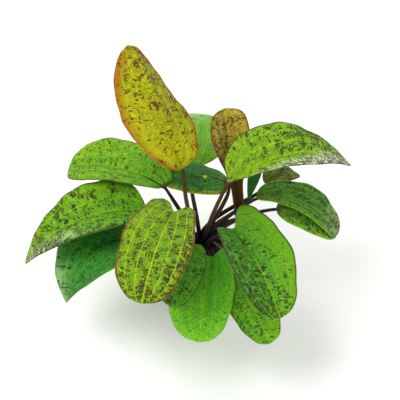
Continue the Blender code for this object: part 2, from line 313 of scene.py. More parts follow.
def marks_of(piece, *names):
    """What the vertices of a piece know, as one list for each name."""
    return [[item.value for item in piece.data.attributes[name].data] for name in names]


def subdivide(piece, levels):
    """Round the active piece with an applied Subdivision Surface."""
    skin = piece.modifiers.new("skin", "SUBSURF")
    skin.levels = skin.render_levels = levels
    bpy.ops.object.modifier_apply(modifier=skin.name)
    bpy.ops.object.shade_smooth()


def belongs(piece, material, node):
    """Give a finished piece its material and put it in the place of its node."""
    piece.data.materials.append(material)
    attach(piece, "root")
    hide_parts(node)


# Blades


def rows_from(start):
    """The vertices of a mesh row by row, by the number of edges between them and the given ones."""
    rows = [start]
    seen = set(start)
    while rows[-1]:
        near = []
        for v in rows[-1]:
            for link in v.link_edges:
                other = link.other_vert(v)
                if other not in seen:
                    seen.add(other)
                    near.append(other)
        rows.append(near)
    return rows[:-1]


def blade_rings(bm, foot):
    """The vertices of a merged blade as rows of a top and an under list, left to right, and its four end points."""
    ends = sorted(bm.verts, key=lambda v: -len(v.link_edges))[:4]
    ends.sort(key=lambda v: (v.co - foot).length)
    rings = []
    for members in rows_from(ends[:2])[1 : ROWS - 1]:
        ring = [members[0]]
        while len(ring) < len(members):
            links = [e.other_vert(ring[-1]) for e in ring[-1].link_edges]
            ring.append(next(v for v in links if v in members and v not in ring))
        rings.append(split_ring(ring))
    return orient(rings, ends), ends


def split_ring(ring):
    """Cut a closed row of vertices at its two margins, where its spacing fits that of the columns best."""
    half = len(COLUMNS)
    gaps = [b - a for a, b in zip(COLUMNS, COLUMNS[1:])]

    def misfit(start):
        total = 0
        for side in (0, half):
            turned = [ring[(start + side + i) % len(ring)].co for i in range(half)]
            steps = [(b - a).length for a, b in zip(turned, turned[1:])]
            for first in (0, half // 2):
                part = steps[first : first + half // 2]
                total += sum(abs(p / sum(part) - g) for p, g in zip(part, gaps[first : first + half // 2]))
        return total

    start = min(range(len(ring)), key=misfit)
    turned = [ring[(start + i) % len(ring)] for i in range(len(ring))]
    return turned[:half], turned[half:][::-1]


def orient(rings, ends):
    """Put each row's upper list first and run both from left to right, looking from base to tip."""
    middle = len(COLUMNS) // 2
    rows = []
    for number, (one, two) in enumerate(rings):
        if number == 0:
            upper_first = one[middle].co.z > two[middle].co.z
        else:
            neighbours = {e.other_vert(one[middle]) for e in one[middle].link_edges}
            upper_first = rows[-1][0][middle] in neighbours
        rows.append((one, two) if upper_first else (two, one))
    base = (ends[0].co + ends[1].co) / 2
    tip = (ends[2].co + ends[3].co) / 2
    points = [base] + [top[middle].co for top, _ in rows] + [tip]
    facing = []
    for number, (top, under) in enumerate(rows):
        forward = points[number + 2] - points[number]
        right = forward.cross(top[middle].co - under[middle].co)
        if (top[-1].co - top[0].co).dot(right) < 0:
            top, under = top[::-1], under[::-1]
        facing.append((top, under))
    return facing


def mark_blade(bm, rows, ends):
    """Write where each vertex lies on the leaf: shares along and across, real distances, and which way is up."""
    middle = len(COLUMNS) // 2
    layer = {n: bm.verts.layers.float[n] for n in MARKS}
    up, outward = (bm.verts.layers.float_vector[n] for n in WAYS)
    bm.normal_update()
    first, last = rows[0][0][middle].co, rows[-1][0][middle].co
    for pair, share in ((ends[:2], 0), (ends[2:], 1)):
        near = rows[0] if share == 0 else rows[-1]
        rise = near[0][middle].co - near[1][middle].co
        pair.sort(key=lambda v: -v.co.dot(rise))
        for under, v in enumerate(pair):
            v[layer["along"]] = share
            v[layer["underside"]] = under
            v[up] = rise.normalized()
    y = (first - ends[0].co).length
    places = {}
    for number, (top, under) in enumerate(rows, 1):
        share = (1 - math.cos(math.pi * number / (ROWS - 1))) / 2
        if number > 1:
            y += (top[middle].co - rows[number - 2][0][middle].co).length
        ahead = rows[min(number, len(rows) - 1)][0][middle].co - rows[max(number - 2, 0)][0][middle].co
        ahead.normalize()
        reach = [0.0] * len(COLUMNS)
        for step in (-1, 1):
            for j in range(1, middle + 1):
                here, inner = middle + step * j, middle + step * (j - 1)
                reach[here] = reach[inner] + (top[here].co - top[inner].co).length
        width = (top[-1].co - top[0].co).normalized()
        for side, vertices in enumerate((top, under)):
            for j, v in enumerate(vertices):
                v[layer["along"]] = share
                v[layer["across"]] = COLUMNS[j]
                v[layer["half_width"]] = (reach[0] + reach[-1]) / 2
                v[layer["underside"]] = side
                v[layer["x"]] = math.copysign(reach[j], COLUMNS[j])
                v[layer["y"]] = y + (top[j].co - top[middle].co).dot(ahead)
                v[up] = top[j].normal
                v[outward] = width * COLUMNS[j]
                places[v] = (number, j, side)
    for side, v in enumerate(ends[:2]):
        places[v] = (0, None, side)
    y += (ends[2].co - last).length
    for side, v in enumerate(ends[2:]):
        places[v] = (ROWS - 1, None, side)
        v[layer["y"]] = y
    return places


def square_up(bm, places):
    """Take out the diagonals, which leaves a blade of four-sided faces."""
    diagonals = []
    for edge in bm.edges:
        (row_a, column_a, side_a), (row_b, column_b, side_b) = (places[v] for v in edge.verts)
        crosses = side_a != side_b or (None not in (column_a, column_b) and column_a != column_b)
        if row_a != row_b and crosses:
            diagonals.append(edge)
    bmesh.ops.dissolve_edges(bm, edges=diagonals, use_verts=False)


def tissue_rise(across):
    """Rise of the tissue between two veins, from 0 on a vein to 1 halfway."""
    side = abs(across)
    for low, high in zip(VEINS, VEINS[1:]):
        if side <= high:
            return math.sin(math.pi * (side - low) / (high - low)) ** 0.8 if side > low else 0
    return 0


def deepen_notch(piece, depth):
    """Draw the two lobes at the base back past the stalk, and the base between them forwards."""
    along, across = marks_of(piece, "along", "across")
    vertices = piece.data.vertices
    midrib = [i for i, side in enumerate(across) if abs(side) < 0.02]
    base = min(midrib, key=lambda i: along[i])
    ahead = min(midrib, key=lambda i: abs(along[i] - 0.25))
    forward = (vertices[ahead].co - vertices[base].co).normalized()
    for vertex, share, side in zip(vertices, along, across):
        push = (0.35 - abs(side) ** 1.5) * (1 - smooth(0, 0.26, share))
        vertex.co += forward * push * depth


def emboss(piece, settings, seed):
    """Raise the tissue between the veins and ripple the margins, on both sides of the blade alike."""
    marks = marks_of(piece, "along", "across", "half_width", "y")
    ways = ([Vector(item.vector) for item in piece.data.attributes[name].data] for name in WAYS)
    for vertex, along, across, half_width, y, up, outward in zip(piece.data.vertices, *marks, *ways):
        fade = min(1, half_width / FULL_RELIEF) * smooth(0, 0.06, along) * smooth(0, 0.08, 1 - along)
        turn = math.tau * y / settings.ripple_length + seed + (2.1 if across > 0 else 0)
        wave = math.sin(turn) + 0.5 * math.sin(2.3 * turn + seed)
        height = settings.quilting * tissue_rise(across) * fade
        height += settings.ripple * across * across * wave * fade
        if up.length > 0.1:
            vertex.co += up.normalized() * height
        swell = math.sin(0.8 * turn + 2 * seed) + 0.5 * math.sin(2.1 * turn)
        vertex.co += outward * abs(across) ** 3 * swell * settings.scallop * fade


def leaf_maps(piece):
    """Two UV maps: shares along and across the blade for the veins, and real distances for the markings."""
    along, across, x, y = marks_of(piece, "along", "across", "x", "y")
    venation = piece.data.uv_layers.new(name="venation")
    skin = piece.data.uv_layers.new(name="skin")
    for loop in piece.data.loops:
        v = loop.vertex_index
        venation.data[loop.index].uv = (along[v], across[v])
        skin.data[loop.index].uv = (x[v], y[v])


class PLANT_OT_blades(bpy.types.Operator):
    """Make the leaf blades with their veins, quilted tissue and rippled margins"""

    bl_idname = "plant.blades"
    bl_label = "Leaf blades"

    def execute(self, context):
        settings = context.scene.plant_blades
        for number, look in enumerate(settings.looks):
            node = "leaf_" + look.name
            stalk = frame["nodes"]["stalk_" + look.name]
            foot = max((v.co for v in stalk.data.vertices), key=lambda co: (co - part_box("crown")[1]).length)
            piece = merged_copy(node, "blade_" + look.name)
            bm = bare_mesh(piece)
            for name in MARKS:
                bm.verts.layers.float.new(name)
            for name in WAYS:
                bm.verts.layers.float_vector.new(name)
            rows, ends = blade_rings(bm, foot)
            square_up(bm, mark_blade(bm, rows, ends))
            bm.to_mesh(piece.data)
            bm.free()
            subdivide(piece, settings.levels)
            deepen_notch(piece, look.lobes * NOTCH)
            emboss(piece, settings, 1.7 * number)
            leaf_maps(piece)
            belongs(piece, leaf_skin(look, settings, number), node)
        return {"FINISHED"}


# Stalks


def stalk_rings(bm):
    """The vertices of a merged stalk ring by ring from its foot, each ring in the same order."""
    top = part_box("crown")[1]
    rings = rows_from([v for v in bm.verts if v.co.xy.length < top.x and abs(v.co.z - top.z) < NEAR_TOP])
    centres = [sum((v.co for v in ring), Vector()) / len(ring) for ring in rings]
    spoke = rings[0][0].co - centres[0]
    ordered = []
    for i, ring in enumerate(rings):
        axis = centres[min(i + 1, len(rings) - 1)] - centres[max(i - 1, 0)]
        axis.normalize()
        spoke = (spoke - axis * spoke.dot(axis)).normalized()
        side = axis.cross(spoke)

        def turn(v, spoke=spoke, side=side, centre=centres[i]):
            arm = v.co - centre
            return (math.atan2(arm.dot(side), arm.dot(spoke)) + 0.2) % math.tau

        ordered.append(sorted(ring, key=turn))
        spoke = ordered[-1][0].co - centres[i]
    return ordered, centres


def shape_stalk(rings, centres, flare):
    """Sink the foot into the rootstock, and widen the stalk, most at its foot and least at its end."""
    for v in rings[0]:
        v.co.z -= SUNK_FOOT
    for i, (ring, centre) in enumerate(zip(rings, centres)):
        factor = flare if i < 2 else STALK_WIDENING
        if i >= len(rings) - 2:
            factor = END_WIDENING
        for v in ring:
            v.co += (v.co - centre) * (factor - 1)


def under_midrib(blade):
    """Points along the underside of a finished blade's midrib, from its base, and the way up at each."""
    line = []
    marks = marks_of(blade, "along", "across", "underside")
    for vertex, item, along, across, underside in zip(blade.data.vertices, blade.data.attributes["up"].data, *marks):
        if abs(across) < 0.01 and underside > 0.97 and along < 0.4:
            line.append((along, vertex.co.copy(), Vector(item.vector).normalized()))
    line.sort(key=lambda item: item[0])
    return [(point, up) for _, point, up in line]


def lead_under(bm, rings, centres, line):
    """Run the stalk's end on below the midrib in four more rings that taper into the blade."""
    cap = next(f for f in bm.faces if all(v in rings[-1] for v in f.verts))
    layer = bm.verts.layers.float["midrib"]
    radius = sum((v.co - centres[-1]).length for v in rings[-1]) / len(rings[-1])
    base = line[0][0]
    shift = base - line[0][1] * radius * 0.4 - centres[-1]
    for number, share in ((-1, 1), (-2, 0.5), (-3, 0.15)):
        for v in rings[number]:
            v.co += shift * share
        centres[number] += shift * share
    heading = (centres[-1] - centres[-2]).normalized()
    shorter = min(1, (line[-1][0] - base).length / (1.1 * MIDRIB_STEPS[-1][0]))
    for number, (distance, slimmer) in enumerate(MIDRIB_STEPS, 1):
        point, up = min(line, key=lambda item: abs((item[0] - base).length - distance * shorter))
        centre = point - up * radius * slimmer * 0.5
        toward = (centre - centres[-1]).normalized()
        turn = heading.rotation_difference((heading + toward).normalized() if number == 1 else toward)
        heading = turn @ heading
        made = bmesh.ops.extrude_discrete_faces(bm, faces=[cap])
        cap = made["faces"][0]
        ring = []
        for v in rings[-1]:
            ring.append(next(e.other_vert(v) for e in v.link_edges if e.other_vert(v) in cap.verts))
        arms = [turn @ (v.co - centres[-1]).normalized() for v in rings[-1]]
        for v, arm in zip(ring, arms):
            v.co = centre + arm * radius * slimmer
            v[layer] = number / len(MIDRIB_STEPS)
        rings.append(ring)
        centres.append(centre)


def map_stalk(bm, rings, centres):
    """One UV map: around the stalk, and the real distance from its foot."""
    layer = bm.loops.layers.uv["skin"]
    place = {}
    length = 0
    for i, ring in enumerate(rings):
        if i:
            length += (centres[i] - centres[i - 1]).length
        for j, v in enumerate(ring):
            place[v] = (j / len(ring), length)
    for face in bm.faces:
        turns = [place[loop.vert][0] for loop in face.loops]
        for loop, turn in zip(face.loops, turns):
            wrapped = turn + 1 if turn < 0.3 and max(turns) > 0.7 else turn
            loop[layer].uv = (wrapped, place[loop.vert][1])


class PLANT_OT_stalks(bpy.types.Operator):
    """Make the stalks, each led from the rootstock into the midrib of its blade"""

    bl_idname = "plant.stalks"
    bl_label = "Stalks"

    def execute(self, context):
        settings = context.scene.plant_stalks
        for look in context.scene.plant_blades.looks:
            node = "stalk_" + look.name
            piece = merged_copy(node, "petiole_" + look.name)
            bm = bare_mesh(piece)
            bm.loops.layers.uv.new("skin")
            bm.verts.layers.float.new("midrib")
            rings, centres = stalk_rings(bm)
            if any(len(ring) != RIBS_ROUND_STALK for ring in rings):
                raise RuntimeError(f"{node} is not a tube of {RIBS_ROUND_STALK} ribs")
            place = {v: (i, j) for i, ring in enumerate(rings) for j, v in enumerate(ring)}
            shape_stalk(rings, centres, settings.flare)
            loose = []
            for edge in bm.edges:
                (ring_a, rib_a), (ring_b, rib_b) = (place[v] for v in edge.verts)
                apart = (rib_a - rib_b) % RIBS_ROUND_STALK
                if (ring_a != ring_b and apart) or (ring_a == ring_b and apart not in (1, RIBS_ROUND_STALK - 1)):
                    loose.append(edge)
            bmesh.ops.dissolve_edges(bm, edges=loose, use_verts=False)
            lead_under(bm, rings, centres, under_midrib(bpy.data.objects["blade_" + look.name]))
            map_stalk(bm, rings, centres)
            bm.to_mesh(piece.data)
            bm.free()
            subdivide(piece, 2)
            belongs(piece, petiole_skin(look, settings), node)
        return {"FINISHED"}


# Rootstock, wool and pot


def roughen(piece, height, size, seed):
    """Push the skin in and out along its normals by smooth noise of a real size."""
    moves = []
    for vertex in piece.data.vertices:
        place = vertex.co / size + Vector((seed, 0, 0))
        moves.append(vertex.normal * noise.fractal(place, 0.8, 2.0, 4) * height)
    for vertex, move in zip(piece.data.vertices, moves):
        vertex.co += move


class PLANT_OT_rootstock(bpy.types.Operator):
    """Make the lumpy dark rootstock that the stalks stand on"""

    bl_idname = "plant.rootstock"
    bl_label = "Rootstock"

    def execute(self, context):
        settings = context.scene.plant_stalks
        piece = merged_copy("crown", "rootstock")
        with editing():
            bpy.ops.mesh.tris_convert_to_quads()
            bpy.ops.mesh.subdivide(number_cuts=2)
        subdivide(piece, 2)
        roughen(piece, settings.lumps, 5 * MM, 3)
        roughen(piece, settings.lumps / 3, 1.4 * MM, 8)
        belongs(piece, rootstock_bark(settings), "crown")
        return {"FINISHED"}


def fibre_points(rng, top_radius, top):
    """A short, lightly bent run of points on the wool's dome."""
    turn = rng.uniform(0, math.tau)
    radius = top_radius * math.sqrt(rng.uniform(0.12, 0.9))
    at = Vector((math.cos(turn) * radius, math.sin(turn) * radius, 0))
    heading = rng.uniform(0, math.tau)
    step = rng.uniform(1.2, 2.2) * MM
    points = []
    for _ in range(POINTS_PER_FIBRE):
        reach = min(at.length, top_radius)
        dome = top.z - DOME * (reach / top_radius) ** 2
        points.append(Vector((at.x, at.y, dome + rng.uniform(-0.1, 0.5) * MM)))
        heading += rng.uniform(-0.6, 0.6)
        at = at + Vector((math.cos(heading), math.sin(heading), 0)) * step
        if at.length > top_radius:
            at = at * (top_radius / at.length)
    return points


class PLANT_OT_wool(bpy.types.Operator):
    """Make the plug of mineral wool, with loose fibres on its top"""

    bl_idname = "plant.wool"
    bl_label = "Mineral wool"

    def execute(self, context):
        settings = context.scene.plant_pot
        piece = merged_copy("wool", "wool_plug")
        with editing():
            bpy.ops.mesh.tris_convert_to_quads()
            bpy.ops.mesh.subdivide(number_cuts=3)
        subdivide(piece, 1)
        roughen(piece, 0.5 * MM, 3 * MM, 5)
        belongs(piece, mineral_wool(settings), "wool")
        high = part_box("wool")[1]
        rng = random.Random(11)
        curve = bpy.data.curves.new("wool_fibres", "CURVE")
        curve.dimensions = "3D"
        curve.bevel_depth = settings.fibre_width / 2
        curve.bevel_resolution = 0
        for _ in range(settings.fibres):
            points = fibre_points(rng, high.x - 0.6 * MM, high)
            line = curve.splines.new("POLY")
            line.points.add(len(points) - 1)
            for spot, point in zip(line.points, points):
                spot.co = (*point, 1)
        fibres = bpy.data.objects.new("wool_fibres", curve)
        context.scene.collection.objects.link(fibres)
        choose(fibres)
        bpy.ops.object.convert(target="MESH")
        fibres = context.active_object
        bpy.ops.object.shade_smooth()
        fibres.data.materials.clear()
        fibres.data.materials.append(mineral_wool(settings))
        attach(fibres, "root")
        return {"FINISHED"}


class PLANT_OT_pot(bpy.types.Operator):
    """Make the net pot with the rounded edges of a moulding"""

    bl_idname = "plant.pot"
    bl_label = "Net pot"

    def execute(self, context):
        settings = context.scene.plant_pot
        piece = merged_copy("pot", "net_pot")
        with editing():
            bpy.ops.mesh.dissolve_limited(angle_limit=math.radians(0.5))
        round_off = piece.modifiers.new("edges", "BEVEL")
        round_off.width = settings.rounding
        round_off.segments = 2
        round_off.limit_method = "ANGLE"
        round_off.angle_limit = math.radians(35)
        bpy.ops.object.modifier_apply(modifier=round_off.name)
        bpy.ops.object.shade_smooth_by_angle(angle=math.radians(40))
        belongs(piece, moulded_plastic(settings), "pot")
        return {"FINISHED"}


# Materials

# Kinds of node that always have the same settings, under the words used for them below
KINDS = {
    "fade": ("MapRange", {"interpolation_type": "SMOOTHSTEP"}),
    "mix": ("Mix", {"data_type": "RGBA"}),
    "noise": ("TexNoise", {}),
    "cells": ("TexVoronoi", {"voronoi_dimensions": "2D"}),
    "ramp": ("ValToRGB", {}),
}


def feed(socket, value):
    """Set a socket, or link another node's output to it."""
    if isinstance(value, bpy.types.NodeSocket):
        socket.id_data.links.new(value, socket)
    else:
        socket.default_value = (*value, 1) if socket.type == "RGBA" else value


def add(tree, kind, *inputs, output=None, stops=(), **details):
    """Add a node with its settings and links, and give back one output: the one named, or the first in use.

    A kind in capitals is an operation of the Math node. The inputs go in order to the sockets in use. A detail with
    a capital is a socket by its name, and any other detail is a setting."""
    kind, settings = ("Math", {"operation": kind}) if kind.isupper() else KINDS.get(kind, (kind, {}))
    made = tree.nodes.new("ShaderNode" + kind)
    for name, value in {**settings, **details}.items():
        if name[0].isupper():
            feed(made.inputs[name], value)
        else:
            setattr(made, name, value)
    if stops:
        elements = made.color_ramp.elements
        while len(elements) < len(stops):
            elements.new(0.5)
        for element, (position, tone) in zip(elements, stops):
            element.position = position
            element.color = (tone, tone, tone, 1) if isinstance(tone, float) else (*tone, 1)
    for socket, value in zip([socket for socket in made.inputs if socket.enabled], inputs):
        feed(socket, value)
    return made.outputs[output] if output else next(socket for socket in made.outputs if socket.enabled)


def new_material(name):
    """An empty material, and the function that adds a node to it."""
    made = bpy.data.materials.new(name)
    made.use_nodes = True
    return made, partial(add, made.node_tree)


def finish(made, inputs):
    """Feed the material's shader, and give the material back."""
    shader = made.node_tree.nodes["Principled BSDF"]
    for name, value in inputs.items():
        feed(shader.inputs[name], value)
    return made


def leaf_skin(look, settings, number):
    """Living leaf under thin wax: broad soft highlights, bright parallel veins in sunken lines, finer veins
    across them, dark pigment flecks that lie along those, and a thin dried margin."""
    made, node = new_material("leaf skin " + look.name)
    along, across, _ = node("SeparateXYZ", node("UVMap", uv_map="venation")).node.outputs
    flat = node("UVMap", uv_map="skin")
    place = node("VectorMath", flat, (0.37 * number, 0.61 * number, 0), operation="ADD")
    x, y, _ = node("SeparateXYZ", flat).node.outputs
    half_width = node("Attribute", attribute_name="half_width", output="Fac")
    underside = node("Attribute", attribute_name="underside", output="Fac")

    # Slow patches 20 mm wide, and a 6 mm wander that keeps the veins from being ruled lines
    patches = node("noise", place, 50, 3, 0.6)
    wander = node("noise", place, 160, 2)
    side = node("ABSOLUTE", across)
    wavered = node("MULTIPLY_ADD", node("SUBTRACT", wander, 0.5), 0.05, side)

    # Distance to the nearest vein in metres, from shares of the half width
    gaps = ((0, 0.0), (0.19, 0.19), (0.38, 0.0), (0.55, 0.17), (0.72, 0.0), (1, 0.28))
    from_vein = node("MULTIPLY", node("ramp", wavered, stops=gaps), half_width)
    from_midrib = node("MULTIPLY", wavered, half_width)
    from_margin = node("MULTIPLY", node("SUBTRACT", 1, side), half_width)
    vein = node("fade", from_vein, settings.vein_width * 0.25, settings.vein_width * 1.1, 0.75, 0)
    midrib = node("fade", from_midrib, settings.vein_width * 0.4, settings.vein_width * 1.5, 1, 0)
    veins = node("MAXIMUM", vein, midrib)
    halo = node("fade", from_vein, 0, 3.5 * MM, 1, 0)

    # Meshes of the vein net: rows that slant forwards from the midrib, bent by a 10 mm wander
    bow = node("noise", place, 100, 1)
    slant = node("MULTIPLY_ADD", node("ABSOLUTE", x), -0.25, y)
    bent = node("MULTIPLY_ADD", bow, 9 * MM, slant)
    bent = node("MULTIPLY_ADD", wander, 3 * MM, bent)
    shifted = node("ADD", x, 0.31 * number)
    rough_edge = node("noise", place, 1400, 2)
    ragged = node("MULTIPLY_ADD", rough_edge, 0.16, -0.08)

    def net(across_size, along_size):
        """A net with meshes of that size: the ragged distance to its threads, and two random numbers for each mesh."""
        at = node("CombineXYZ", node("DIVIDE", shifted, across_size), node("DIVIDE", bent, along_size))
        thread = node("cells", at, 1, feature="DISTANCE_TO_EDGE")
        one, two, _ = node("SeparateXYZ", node("cells", at, 1, output="Color")).node.outputs
        return node("ADD", thread, ragged), one, two

    fine_thread, _, shade = net(1.1 * MM, 0.75 * MM)
    thread, pick, _ = net(2.4 * MM, 1.1 * MM)
    wide_thread, wide_pick, _ = net(3.4 * MM, 2 * MM)
    threads = node("fade", fine_thread, 0, 0.2, 1, 0)

    # Flecks fill single meshes, crowded in patches 8 mm wide and towards the tip; blotches fill wider ones
    crowds = node("noise", place, 130, 4, 0.65)
    crowded = node("MULTIPLY_ADD", along, 0.5, node("MULTIPLY_ADD", node("fade", crowds, 0.38, 0.66), 0.9, -0.2))
    crowded = node("ADD", crowded, node("MULTIPLY", across, 0.6 * look.deep_and_shaded_half))
    # How far the bleached tip with its painted sheen reaches, and towards which half
    tip = node("ADD", along, node("MULTIPLY_ADD", patches, 0.5, -0.25))
    tip = node("MULTIPLY_ADD", across, look.bleach_and_sheen_half, tip)
    bleach_and_sheen = node("MULTIPLY", node("fade", tip, 0.6, 1.05), look.bleach_and_sheen * 0.9)
    crowded = node("MULTIPLY_ADD", bleach_and_sheen, 0.85, crowded)
    far_side = node("MULTIPLY_ADD", across, -2 * look.bleach_and_sheen_half, tip)
    crowded = node("MULTIPLY_ADD", node("fade", far_side, 0.6, 1.1), 0.5 * look.bleach_and_sheen, crowded)
    fleck = node("fade", node("MULTIPLY_ADD", crowded, 0.95 * look.flecks, pick), 0.98, 1.04)
    fleck = node("MULTIPLY", fleck, node("fade", thread, 0, 0.16))
    blotch = node("fade", node("MULTIPLY_ADD", crowded, 0.35 * look.blotches, wide_pick), 0.98, 1.02)
    blotch = node("MULTIPLY", blotch, node("fade", wide_thread, 0.06, 0.16))
    marks = node("MULTIPLY", node("MAXIMUM", fleck, blotch), node("MULTIPLY_ADD", veins, -look.veined, 1))
    marks = node("MULTIPLY", marks, node("fade", underside, 0.2, 0.7, 1, 0.35))

    # Tissue: deep green in patches and in the deeper half, which is partly painted shade, lighter beside the veins and
    # at the margin
    # Painted shade: one half darker, as on a blade folded away from the light
    half = node("MULTIPLY", across, look.deep_and_shaded_half)
    tone = node("ADD", node("MULTIPLY_ADD", patches, 1.3, -0.45), node("MULTIPLY", halo, 0.35))
    tone = node("ADD", tone, node("fade", along, 0.05, 0.45, -0.8 * look.deep_base, 0))
    tone = node("SUBTRACT", tone, node("MULTIPLY", half, 0.8))
    tone = node("ADD", tone, node("fade", from_margin, 1 * MM, 8 * MM, 0.3, 0))
    tone = node("MULTIPLY_ADD", shade, 0.8, node("SUBTRACT", tone, 0.4))
    tissue = node("mix", node("fade", tone, -0.15, 1.15), look.deep, look.light)
    tissue = node("mix", node("MULTIPLY", threads, 0.42), tissue, look.vein)
    uneven = node("fade", node("ADD", shade, threads), 0.1, 1.1, 0.62, 1.15)
    tissue = node("mix", 0.75, tissue, uneven, blend_type="MULTIPLY")

    # Bleached tip: grey-green wax that has lost its pigment, partly painted sheen of light on the wax
    tissue = node("mix", bleach_and_sheen, tissue, PALE_WAX_AND_SHEEN)

    # A narrow base is brown like the stalk, and the margin's colour spreads inwards mesh by mesh, most at the tip
    brown = node("MULTIPLY", node("fade", along, 0.12, 0.55, 1, 0), look.brown_base)
    narrow = node("fade", half_width, (5 + 5 * look.trough) * MM, (12 + 5 * look.trough) * MM, 0.97, 0)
    narrow = node("MULTIPLY", narrow, node("fade", along, 0.5, 0.8, 1, 0))
    stripes = node("fade", node("SINE", node("MULTIPLY", x, math.tau / (1.3 * MM))), -1, 1, 0.88, 1)
    stained = node("MULTIPLY", node("MULTIPLY", narrow, stripes), look.brown_base)
    tissue = node("mix", stained, tissue, BASE_BROWN)
    reach = node("MULTIPLY_ADD", patches, -10 * MM * look.rim, node("fade", along, 0.5, 1, 0, -7 * MM * look.rim))
    reach = node("MULTIPLY_ADD", shade, -5 * MM * look.rim, reach)
    wash = node("fade", node("ADD", from_margin, reach), -8 * MM * look.rim, 5 * MM * look.rim + 0.1 * MM, 0.8, 0)
    wash = node("MULTIPLY", wash, node("fade", half_width, 4 * MM, 12 * MM))
    tissue = node("mix", wash, tissue, look.margin)

    # Veins, brown where they leave the stalk and in a brown trough, and always seen from below
    brown = node("MAXIMUM", brown, node("MULTIPLY", narrow, look.trough))
    vein_tone = node("mix", brown, look.vein, VEIN_BROWN)
    # The veins take on the bleached tip's colour and painted sheen too
    vein_tone = node("mix", node("MULTIPLY", bleach_and_sheen, 0.6), vein_tone, PALE_WAX_AND_SHEEN)
    brown_veins = node("MULTIPLY", node("MAXIMUM", midrib, node("MULTIPLY", vein, 0.6)), brown)
    shown = node("MAXIMUM", node("MULTIPLY", veins, look.veined), brown_veins)
    shown = node("MAXIMUM", shown, node("MULTIPLY", node("MULTIPLY", veins, underside), 0.6))
    colour = node("mix", shown, tissue, vein_tone)
    fleck_tone = node("mix", bleach_and_sheen, look.fleck, FLECK_ON_WAX)
    colour = node("mix", node("MULTIPLY", marks, 0.96), colour, fleck_tone)

    # One round age spot where the leaf has it, with a soft ragged rim
    beside, ahead, radius = look.spot
    if radius > 0:
        from_spot = node("VectorMath", flat, (beside, ahead, 0), operation="DISTANCE")
        from_spot = node("MULTIPLY_ADD", rough_edge, 0.8 * MM, from_spot)
        spotted = node("fade", from_spot, radius - 0.1 * MM, radius + 0.7 * MM, 0.9, 0)
        colour = node("mix", spotted, colour, AGE_SPOT)

    # Dried margin up to 1 mm wide, uneven
    worn = node("fade", node("MULTIPLY_ADD", patches, -1.6 * MM, from_margin), -0.7 * MM, 0.2 * MM, 0.6, 0)
    edge = node("MULTIPLY", worn, node("fade", crowds, 0.36, 0.56, 0.25, 1))
    colour = node("mix", edge, colour, look.margin)

    # The underside is paler and duller
    colour = node("mix", node("MULTIPLY", underside, 0.22), colour, PALE_UNDERSIDE)

    relief = node("MULTIPLY_ADD", veins, -1, node("MULTIPLY", threads, -0.35))
    relief = node("MULTIPLY_ADD", wander, 0.5, relief)
    relief = node("MULTIPLY_ADD", marks, -0.2, relief)
    skin = {
        "Base Color": colour,
        "Roughness": node("MULTIPLY_ADD", patches, 0.2, settings.gloss - 0.1),
        "Normal": node("Bump", Strength=0.7, Distance=0.35 * MM, Height=relief),
        "IOR": 1.45,
        "Specular IOR Level": 0.14,
        "Subsurface Weight": 0.06,
        "Subsurface Radius": (0.5, 1, 0.2),
        "Subsurface Scale": 1.2 * MM,
    }
    return finish(made, skin)


def petiole_skin(look, settings):
    """Leaf stalk: smooth, waxy and finely ribbed, almost black at the foot and lighter towards the blade."""
    made, node = new_material("leaf stalk " + look.name)
    turn, height, _ = node("SeparateXYZ", node("UVMap", uv_map="skin")).node.outputs
    # Ribs 0.5 mm apart round the stalk, and mottling about 3 mm long
    ribs = node("SINE", node("MULTIPLY", turn, math.tau * 16))
    long_grain = node("CombineXYZ", node("MULTIPLY", turn, 9), node("MULTIPLY", height, 160))
    mottle = node("noise", long_grain, 1, 4)
    rise = node("fade", node("MULTIPLY_ADD", mottle, 12 * MM, height), 8 * MM, 46 * MM)
    tone = node("ramp", rise, stops=((0, settings.foot), (0.35, settings.middle), (1, look.stalk)))
    tone = node("mix", node("MULTIPLY", mottle, 0.5), tone, settings.foot)
    # The part below the midrib pales to the colour of the veins
    under = node("Attribute", attribute_name="midrib", output="Fac")
    tone = node("mix", node("MULTIPLY", under, 0.85), tone, look.vein)
    relief = node("MULTIPLY_ADD", mottle, 0.8, node("MULTIPLY", ribs, 0.3))
    skin = {
        "Base Color": tone,
        "Roughness": node("MULTIPLY_ADD", mottle, 0.25, 0.3),
        "Normal": node("Bump", Strength=0.5, Distance=0.12 * MM, Height=relief),
        "IOR": 1.45,
        "Specular IOR Level": 0.2,
    }
    return finish(made, skin)


def rootstock_bark(settings):
    """Rootstock: corky, fibrous and wet-dark, so nearly black with dull brown threads."""
    made, node = new_material("rootstock bark")
    # Threads about 0.6 mm wide that run up and down
    pulled = node("Mapping", node("TexCoord", output="Object"), Scale=(1, 1, 0.25))
    threads = node("noise", pulled, 900, 5, 0.65)
    tone = node("ramp", threads, stops=((0.35, settings.foot), (0.62, linear("24130C")), (0.8, linear("4A3420"))))
    bump = node("Bump", Strength=0.9, Distance=0.4 * MM, Height=threads)
    return finish(made, {"Base Color": tone, "Normal": bump, "Roughness": 0.75, "Specular IOR Level": 0.15})


def mineral_wool(settings):
    """Mineral wool: matted glassy fibres, dull, with painted shade in the small hollows between them."""
    made, node = new_material("mineral wool")
    place = node("TexCoord", output="Object")
    # Fibre bundles 0.3 mm wide, drawn coarser than the real 0.01 mm fibres so that they show
    matted = node("noise", place, 1100, 5, 0.7, Distortion=1.5)
    damp = node("MapRange", node("noise", place, 120, 2), 0.45, 0.75, 0, 0.6)
    # dark is painted shade in the hollows between fibre bundles, and the colour of damp patches
    dark = [c * 0.28 for c in settings.wool]
    pale = [min(1, c * 1.5) for c in settings.wool]
    tone = node("ramp", matted, stops=((0.3, dark), (0.5, settings.wool), (0.72, pale)))
    bump = node("Bump", Strength=0.9, Distance=0.4 * MM, Height=matted)
    return finish(made, {"Base Color": node("mix", damp, tone, dark), "Normal": bump, "Roughness": 0.9})


